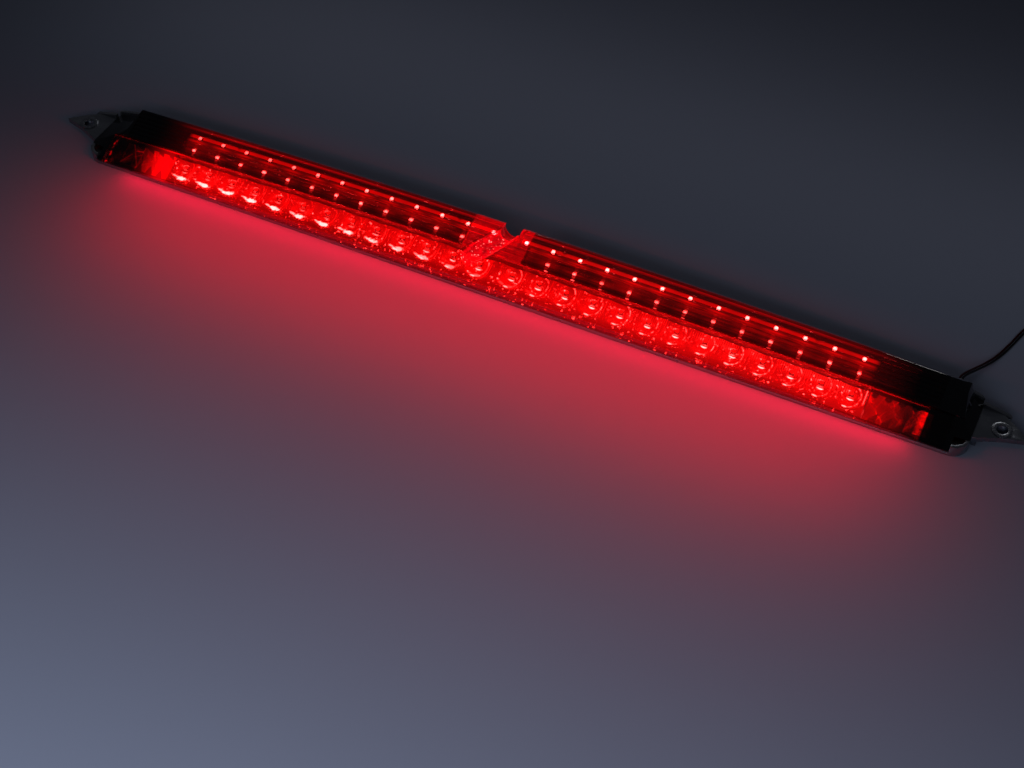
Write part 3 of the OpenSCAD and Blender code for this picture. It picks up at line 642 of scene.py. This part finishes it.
def hank(r, seal_y):
    """Two flat turns between the ends of the hank, then back out to the plug's seal."""
    pts = []
    zs = (1.3, 2.7)
    for k in (0, 1):
        z = zs[k]
        for i in range(5):
            pts.append((HX0 + (HX1 - HX0) * i / 4, HY - r, z))
        for i in range(1, 9):
            a = -math.pi / 2 + math.pi * i / 9
            pts.append((HX1 + r * math.cos(a), HY + r * math.sin(a), z))
        if k == 0:
            for i in range(5):
                pts.append((HX1 - (HX1 - HX0) * i / 4, HY + r, z))
            for i in range(1, 9):
                a = math.pi / 2 + math.pi * i / 9
                zz = z + (zs[1] - z) * (0.5 - 0.5 * math.cos(math.pi * i / 9))
                pts.append((HX0 + r * math.cos(a), HY + r * math.sin(a), zz))
        else:
            for i in range(5):
                pts.append((HX1 - (HX1 - HX0) * i / 4, HY + r, z))
            pts.append((327.6, (HY + r) * 0.97 + 0.03 * seal_y, 2.8))
            pts.append((324.4, seal_y * 0.55 + (HY + r) * 0.45, 3.2))
            pts.append((321.6, seal_y, 3.4))
            pts.append((319.4, seal_y, 3.4))
    return pts


def curve_len(pts):
    return sum((Vector(b) - Vector(a)).length for a, b in zip(pts, pts[1:]))


def catmull(p, k):
    out = []
    for i in range(len(p) - 1):
        a, b, c, d = p[max(i - 1, 0)], p[i], p[i + 1], p[min(i + 2, len(p) - 1)]
        for j in range(k):
            t = j / k
            out.append(tuple(0.5 * (2 * b[m] + (c[m] - a[m]) * t + (2 * a[m] - 5 * b[m] + 4 * c[m] - d[m]) * t * t
                                    + (3 * b[m] - a[m] - 3 * c[m] + d[m]) * t ** 3) for m in range(3)))
    out.append(tuple(p[-1]))
    return out


def wire(name, head, r, seal_y, m):
    pts = catmull(head + hank(r, seal_y)[1:], 3)
    cu = D.curves.new(name, "CURVE")
    cu.dimensions = "3D"
    cu.bevel_depth = 0.68 * MM
    cu.bevel_resolution = 4
    cu.use_fill_caps = True
    sp = cu.splines.new("POLY")
    sp.points.add(len(pts) - 1)
    for i, p in enumerate(pts):
        sp.points[i].co = (p[0] * MM, p[1] * MM, p[2] * MM, 1)
    sp.use_smooth = True
    cu.materials.append(m)
    o = link(name, cu)
    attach(o, "root")
    return o, curve_len(pts) * MM


lead_red, LEN_RED = wire("lead_red", RED, 5.0, 115.2, M["wire_dark"])
lead_black, LEN_BLACK = wire("lead_black", BLACK, 6.4, 119.0, M["wire_black"])
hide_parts("wire_red", "wire_hank")
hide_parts("wire_black")

plug = cad_copy("connector_body", "plug_housing", [M["plug"]], bevel=0.35)
seals = cad_copy("connector_seals", "plug_seals", [M["seal"]], bevel=0.25)
tie = cad_copy("hank_tie", "tie_band", [M["tie"]], bevel=0.25)
grommet = cad_copy("cable_grommet", "grommet_boot", [M["rubber"]], bevel=0.2)
for o, n in ((plug, "connector_body"), (seals, "connector_seals"), (tie, "hank_tie"), (grommet, "cable_grommet")):
    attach(o, "root")
    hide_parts(n)

# ---------------------------------------------------------------- solids for the booleans
W_S = 0.9


def solid_box(x0, x1, y0, y1, z0, z1):
    bm = bmesh.new()
    vs = [bm.verts.new((x * MM, y * MM, z * MM)) for x in (x0, x1) for y in (y0, y1) for z in (z0, z1)]
    for q in ((0, 1, 3, 2), (4, 6, 7, 5), (0, 4, 5, 1), (2, 3, 7, 6), (0, 2, 6, 4), (1, 5, 7, 3)):
        bm.faces.new([vs[i] for i in q])
    bmesh.ops.recalc_face_normals(bm, faces=bm.faces)
    return bm


def tmp(bm, name="tmp"):
    me = D.meshes.new(name)
    bm.to_mesh(me)
    bm.free()
    return link(name, me)


def frustum(a, b, r1, r2, n=72):
    a, b = Vector(a), Vector(b)
    ax = (b - a).normalized()
    u = ax.orthogonal().normalized()
    w = ax.cross(u)
    bm = bmesh.new()
    rings = []
    for p, r in ((a, r1), (b, r2)):
        rings.append([bm.verts.new((p + (u * math.cos(2 * math.pi * i / n) + w * math.sin(2 * math.pi * i / n)) * r) * MM)
                      for i in range(n)])
    for i in range(n):
        j = (i + 1) % n
        bm.faces.new((rings[0][i], rings[0][j], rings[1][j], rings[1][i]))
    bm.faces.new(rings[0])
    bm.faces.new(rings[1])
    bmesh.ops.recalc_face_normals(bm, faces=bm.faces)
    return bm


def boolean(a, b, op):
    md = a.modifiers.new("b", "BOOLEAN")
    md.operation = op
    md.object = b
    md.solver = "EXACT"
    dg = bpy.context.evaluated_depsgraph_get()
    me = D.meshes.new_from_object(a.evaluated_get(dg))
    a.modifiers.clear()
    old = a.data
    a.data = me
    D.meshes.remove(old)
    ob = b.data
    D.objects.remove(b)
    D.meshes.remove(ob)
    return a


def groove(t):
    """The trough through the ridge: a straight notch at the back, opening into a trumpet that sweeps forward."""
    g = tmp(frustum((-0.5, BACK + 3, 21.3), (-0.5, 13.7, 21.3), 6.8 + t, 6.8 + t))
    g = boolean(g, tmp(solid_box(-6.9 - t, 5.9 + t, 13.4, BACK + 3.2, 21.3, 33)), "UNION")
    return boolean(g, tmp(frustum((2.5, 18, 22.4), (-20, -12, 19.2), 4.8 + t, 7 + t)), "UNION")


def reshade(o, mats, sharp=30.0, name=None):
    bm = bmesh.new()
    bm.from_mesh(o.data)
    bmesh.ops.remove_doubles(bm, verts=bm.verts, dist=2e-6)
    bmesh.ops.dissolve_degenerate(bm, dist=1e-6, edges=bm.edges)
    for f in bm.faces:
        f.smooth = True
        f.material_index = 0
    lim = math.radians(sharp)
    for e in bm.edges:
        e.smooth = not (len(e.link_faces) == 2 and e.calc_face_angle(0.0) > lim)
    bm.to_mesh(o.data)
    bm.free()
    o.data.materials.clear()
    for m in mats:
        o.data.materials.append(m)
    if name:
        o.name = name
        o.data.name = name
    return o


# ---------------------------------------------------------------- outer shells
WIN = 275.0
LEDGE, LEDGE_TOP = (-2.0, 17.6), 18.8


def cover_section():
    pts = [(-2, 17.6)]
    rad = [0.15]
    for i in range(6):
        for k in range(3):
            u = -2 + 3 * (i + (0, 0.35, 0.97)[k])
            pts.append((u, 18.8 + 0.3556 * (u + 2) - (0, 0, 0.62)[k]))
            rad.append((0.12, 0.55, 0.12)[k])
    pts += [(16, 25.2), (18.4, 25.6), (21, 24.0), (21, 21.8), (19, 21.8), (19, 22.6), (16.5, 23.7), (-0.4, 16.7),
            (-1, 15.8), (-2, 15.4)]
    rad += [0.4, 0.7, 0.9, 0.25, 0.2, 0.3, 0.8, 0.6, 0.2, 0.2]
    return fillet(pts, rad, 3)


def lens_section(foot=2.6):
    pts = [(-21, foot), (-21, 8.5), (-19.8, 9.6), (-2, 17.6), (-2, 15.4), (-18.6, 7.6), (-19, 7.4), (-19, foot)]
    return fillet(pts, [0.25, 0.5, 1.0, 0.35, 0.2, 0.4, 0.3, 0.2], 4)


def outline(t, foot):
    pts = [(-21 + t, foot), (-21 + t, 8.5 - t * 0.45), (-19.8 + t * 0.75, 9.6 - t * 0.9),
           (-2 + t * 0.1, 17.6 - t * 1.05), (-2 + t * 0.6, 18.8 - t), (16 + t * 0.1, 25.2 - t),
           (18.4, 25.6 - t), (21 - t, 24.0 - t * 0.9), (21 - t, foot)]
    return pts


def swept(name, pts, a, b, mats, step=5.0, sharp=30):
    bm = bmesh.new()
    sweep(bm, pts, span(a, b, step))
    return finish_mesh(name, bm, mats, sharp)


def lens_place(x, y, z):
    """The window's foot stays level on the silver lip while its upper edges follow the crown."""
    if z < 3.0:
        p = crowned(x, y, z)
        return (x * MM, p[1], z * MM)
    return crowned(x, y, z)


bm = bmesh.new()
sweep(bm, lens_section(), span(-285.0, 285.0, 5.0), place=lens_place)
lens = finish_mesh("lens_window", bm, [M["lens"]], 30)
lens = boolean(lens, groove(W_S), "DIFFERENCE")
reshade(lens, [M["lens"]])
cover_l = swept("cover_left", cover_section(), -WIN, -26.0, [M["smoke"]])
cover_r = swept("cover_right", cover_section(), 14.0, WIN, [M["smoke"]])

scoop = swept("centre_piece", cover_section(), -26.0, 14.0, [M["scoop"]], 2.0)
inner = swept("inner", outline(0, 6), -30.0, 14.0, [M["scoop"]], 2.0)
inner = boolean(inner, groove(W_S), "INTERSECT")
scoop = boolean(scoop, inner, "UNION")
scoop = boolean(scoop, groove(0.0), "DIFFERENCE")
reshade(scoop, [M["scoop"]])

for o, n in ((lens, "red_lens"), (cover_l, "top_cover_left"), (cover_r, "top_cover_right"),
             (scoop, "centre_scoop")):
    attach(o, "root")
    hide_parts(n)

housing = cad_copy("rear_housing", "housing_shell", [M["silver"]], bevel=0.3)
cap_l = cad_copy("end_cap_left", "cap_left", [M["black"]], bevel=0.45, seg=3)
cap_r = cad_copy("end_cap_right", "cap_right", [M["black"]], bevel=0.45, seg=3)
bush_l = cad_copy("ear_bushing_left", "bushing_left", [M["steel"]], bevel=0.2)
bush_r = cad_copy("ear_bushing_right", "bushing_right", [M["steel"]], bevel=0.2)
for o, n, s in ((housing, "rear_housing", "housing_silver"), (cap_l, "end_cap_left", "cap_black"),
                (cap_r, "end_cap_right", "cap_black"), (bush_l, "ear_bushing_left", "steel"),
                (bush_r, "ear_bushing_right", "steel")):
    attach(o, "root")
    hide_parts(n)

# ---------------------------------------------------------------- optics
SLOPE = (Vector((-3.2, 13.4)) - Vector((-17.6, 6.6)))
SL = SLOPE.length
SU = SLOPE.normalized()
SN = Vector((-SU.y, SU.x))
NV = 34


def cell_depth(x, v):
    """How far the tray dips below its slope at station x, v mm up the slope: one U-shaped bowl to each LED."""
    u = min((x - c for c in LEDX), key=abs)
    au = abs(u)
    rad = 8.25
    vc = 8.9
    r = au if v >= vc else math.hypot(au, v - vc)
    if r >= 9.0:
        return -0.0
    d = 0.0
    if r < rad:
        d = 2.45 * (1 - (r / rad) ** 2)
    bead = math.exp(-((r - rad) / 0.28) ** 2)
    return d - 0.32 * bead


def tray_section(x):
    top = [(-18.4, 2.2), (-18.4, 5.4)]
    for i in range(NV + 1):
        v = SL * i / NV
        d = cell_depth(x, v)
        p = Vector((-17.6, 6.6)) + SU * v - SN * d
        top.append((p.x, p.y))
    under = []
    for i in range(NV, -1, -1):
        v = SL * i / NV
        d = max(cell_depth(x, v), 0) + 0.75
        p = Vector((-17.6, 6.6)) + SU * v - SN * d
        under.append((max(p.x, -17.55), p.y))
    return top + under + [(-17.6, 4.9), (-17.6, 2.2)]


def tray_place(x, y, z):
    if z < 2.3:
        return (x * MM, y * MM, z * MM)
    return crowned(x, y, z)


bm = bmesh.new()
xs = []
for c in LEDX:
    for u in [-8.98, -8.6, -8.4, -8.25, -8.1, -7.8, -7.2, -6.4, -5.5, -4.5, -3.4, -2.3, -1.1, 0, 1.1, 2.3, 3.4, 4.5,
              5.5, 6.4, 7.2, 7.8, 8.1, 8.25, 8.4, 8.6, 8.98]:
        xs.append(c + u)
xs = [-ROW] + [x for x in xs if -ROW + 0.05 < x < ROW - 0.05] + [ROW]
rings = [[bm.verts.new(tray_place(x, y, z)) for (y, z) in tray_section(x)] for x in xs]
n = len(rings[0])
for i in range(len(xs) - 1):
    for j in range(n):
        bm.faces.new((rings[i][j], rings[i + 1][j], rings[i + 1][(j + 1) % n], rings[i][(j + 1) % n]))
for r in (rings[0], rings[-1]):
    f = bm.faces.new(r)
    bmesh.ops.triangulate(bm, faces=[f])
tray = finish_mesh("lower_tray", bm, [M["mirror_lo"]], 40)

# stepped mirror below the smoked covers: five rounded bars that reflect each LED once on each bar; the mirror_upper
# material also paints a highlight dot there
def mirror_section():
    out = []
    for i in range(5):
        y0, z0 = -0.4 + 1.9 * i, 12.2 + 1.6 * i
        for k in range(7):
            a = math.radians(160 - 150 * k / 6)
            out.append((y0 + 1.0 + 1.0 * math.cos(a), z0 + 0.1 + 0.95 * math.sin(a)))
    out += [(10.4, 19.9), (10.4, 19.4), (9.7, 17.4), (-0.35, 9.7)]
    return out


mirrors = []
for a, b, nm in ((-ROW, -27.0, "mirror_left"), (15.0, ROW, "mirror_right")):
    mirrors.append(swept(nm, mirror_section(), a, b, [M["mirror_up"]], 4.5, 50))
for o in (tray, *mirrors):
    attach(o, "root")
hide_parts("lower_reflector")
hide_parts("upper_reflector")


# ---------------------------------------------------------------- LEDs
def led_into(bm, x, y, z, h):
    """White package with bevelled edges, a ring around the die and a round dome."""
    mk = lambda px, py, pz: bm.verts.new(((x + px) * MM, (y + py) * MM, (z + pz) * MM))
    hw, top = 1.5, h - 0.5
    prof = []
    for dz, w in ((0.0, hw), (top - 0.18, hw), (top - 0.04, hw - 0.06), (top, hw - 0.2)):
        ring = []
        for sx, sy in ((1, 1), (-1, 1), (-1, -1), (1, -1)):
            c = 0.24
            a = (sx * w, sy * (w - c))
            b = (sx * (w - c), sy * w)
            ring += [a, b] if sx * sy > 0 else [b, a]
        prof.append([mk(px, py, dz) for px, py in ring])
    bm.faces.new(list(reversed(prof[0]))).material_index = 0
    for i in range(3):
        for j in range(8):
            k = (j + 1) % 8
            bm.faces.new((prof[i][j], prof[i][k], prof[i + 1][k], prof[i + 1][j])).material_index = 0
    seg = 16
    dome = []
    for r, dz in ((1.12, top), (1.06, top + 0.16), (0.90, top + 0.33), (0.58, top + 0.45)):
        dome.append([mk(r * math.cos(2 * math.pi * (q + 0.5) / seg), r * math.sin(2 * math.pi * (q + 0.5) / seg), dz) for q in range(seg)])
    # package top joined to the dome's foot
    for q in range(seg):
        k = (q + 1) % seg
        j = int(((q + 0.5) / seg * 8 + 0.5)) % 8
        for i in range(3):
            f = bm.faces.new((dome[i][q], dome[i][k], dome[i + 1][k], dome[i + 1][q]))
            f.material_index = 1
    cap = mk(0, 0, top + 0.5)
    for q in range(seg):
        f = bm.faces.new((dome[3][q], dome[3][(q + 1) % seg], cap))
        f.material_index = 1
    res = bmesh.ops.bridge_loops(bm, edges=[e for e in bm.edges if len(e.link_faces) == 1 and (
        all(v in prof[3] for v in e.verts) or all(v in dome[0] for v in e.verts))])
    for f in res["faces"]:
        f.material_index = 0


for nm, y, z, h, node, m in (("leds_upper", 12.6, 19.65, 1.5, "upper_leds", "led_up"),
                             ("leds_lower", -6.4, 8.45, 2.4, "lower_leds", "led_lo")):
    bm = bmesh.new()
    for x in LEDX:
        led_into(bm, x, y, z + drop(x), h)
    o = finish_mesh(nm, bm, [M["led_body"], M[m]], 40)
    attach(o, "root")
    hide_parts(node)

# ---------------------------------------------------------------- carried-over CAD nodes
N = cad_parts


def dress(node, m):
    o = N[node]
    o.data.materials.clear()
    o.data.materials.append(m)


for node, key in (("end_reflex_left", "prism"), ("end_reflex_right", "prism"), ("upper_led_board_left", "board_painted_glow"),
                  ("upper_led_board_right", "board_painted_glow"), ("lower_led_board", "board"), ("chip_resistors", "chip"),
                  ("current_regulators", "chip"), ("board_screws", "screw"), ("board_link_wires", "wire_red"),
                  ("inner_leads", "wire_red"), ("base_gasket", "foam"), ("vent_patch", "patch"),
                  ("connector_pins", "brass")):
    dress(node, M[key])

# ---------------------------------------------------------------- stage and light
m, nt, b = mat("floor_pale")
t = tex(nt, 1.2, 3, 0.5)
nt.links.new(ramp(nt, t.outputs["Fac"], [(0.3, (0.50, 0.515, 0.62)), (0.7, (0.54, 0.555, 0.66))]), b.inputs["Base Color"])
nt.links.new(ramp(nt, t.outputs["Fac"], [(0.3, grey(0.07)), (0.7, grey(0.10))]), b.inputs["Roughness"])
b.inputs["Specular IOR Level"].default_value = 0.5
bm = bmesh.new()
bmesh.ops.create_grid(bm, x_segments=2, y_segments=2, size=3.0)
floor = link("floor", D.meshes.new("floor"))
bm.to_mesh(floor.data)
bm.free()
floor.data.materials.append(m)
floor.location = (0, 0, -0.0002)

world = D.worlds.new("studio")
SC.world = world
world.use_nodes = True
bg = world.node_tree.nodes["Background"]
bg.inputs["Color"].default_value = (0.72, 0.78, 1.0, 1)
bg.inputs["Strength"].default_value = 0.015


def area(name, loc, aim, size, power, color=(1, 1, 1), size_y=None, cam_vis=False, glossy=True, diffuse=True):
    li = D.lights.new(name, "AREA")
    li.energy = power
    li.color = color
    li.size = size
    if size_y:
        li.shape = "RECTANGLE"
        li.size_y = size_y
    o = link(name, li)
    o.location = loc
    o.rotation_euler = (Vector(loc) - Vector(aim)).to_track_quat("Z", "Y").to_euler()
    o.visible_camera = cam_vis
    o.visible_glossy = glossy
    o.visible_diffuse = diffuse
    return o


def only(light, name, *objs):
    """A light that reaches these objects alone."""
    c = D.collections.new(name)
    for o in objs:
        c.objects.link(o)
    light.light_linking.receiver_collection = c
    return light


on_floor = only(area("table_fill", (0.17, -0.64, 0.40), (0.17, -0.57, 0.0), 1.0, 0.98, (0.66, 0.79, 1.0), size_y=0.3), "table_only", floor)
on_floor.data.spread = math.radians(122)
back_soft = area("back_soft", (-0.3, 1.5, 0.42), (0, 0, 0), 0.9, 3.4, (0.92, 0.95, 1.0))
top_soft = area("top_soft", (0.1, -0.2, 1.8), (0, 0, 0), 1.2, 2.0, (0.90, 0.94, 1.0), glossy=False)
not_floor = D.collections.new("all_but_table")
not_floor.objects.link(floor)
not_clear = D.collections.new("all_but_clear")
for o in (floor, cover_l, cover_r, scoop, lead_red, lead_black):
    not_clear.objects.link(o)
back_soft.light_linking.receiver_collection = not_clear
top_soft.light_linking.receiver_collection = not_floor
for c in (not_floor, not_clear):
    for co in c.collection_objects:
        co.light_linking.link_state = "EXCLUDE"
# narrow lights that draw the thin lines on the ridge
only(area("ridge_right", (0.22, 1.0, 0.45), (0.27, 0.02, 0.02), 0.08, 0.50, (1, 1, 1), size_y=0.60), "ridge_right_only", cover_r)
only(area("ridge_mid", (-0.35, 1.0, 0.45), (0.0, 0.02, 0.02), 0.05, 0.32, (1, 1, 1), size_y=0.60), "ridge_mid_only", cover_l, cover_r)
behind = area("table_behind", (0.05, 0.03, 0.35), (0.05, 0.20, 0.0), 0.9, 0.030, (0.84, 0.88, 1.0), size_y=0.05)
behind.data.spread = math.radians(64)
# the light that the lamp throws on the table
throw = area("lamp_throw", (0.0, -0.040, 0.062), (0.0, -0.071, 0.0), 0.50, 0.16, (1.0, 0.0, 0.006), size_y=0.02)
foot = area("lamp_foot", (0.0, -0.0225, 0.009), (0.0, -0.034, 0.0), 0.53, 0.05, (1.0, 0.0, 0.03), size_y=0.008)
for o in (throw, foot, behind):
    o.light_linking.receiver_collection = on_floor.light_linking.receiver_collection
    o.visible_glossy = False

SC.view_settings.view_transform = "Standard"
SC.view_settings.look = "None"
SC.view_settings.exposure = 0.0
SC.cycles.caustics_reflective = False
SC.cycles.caustics_refractive = False
SC.cycles.sample_clamp_indirect = 60.0
SC.cycles.max_bounces = 16
SC.cycles.transmission_bounces = 14
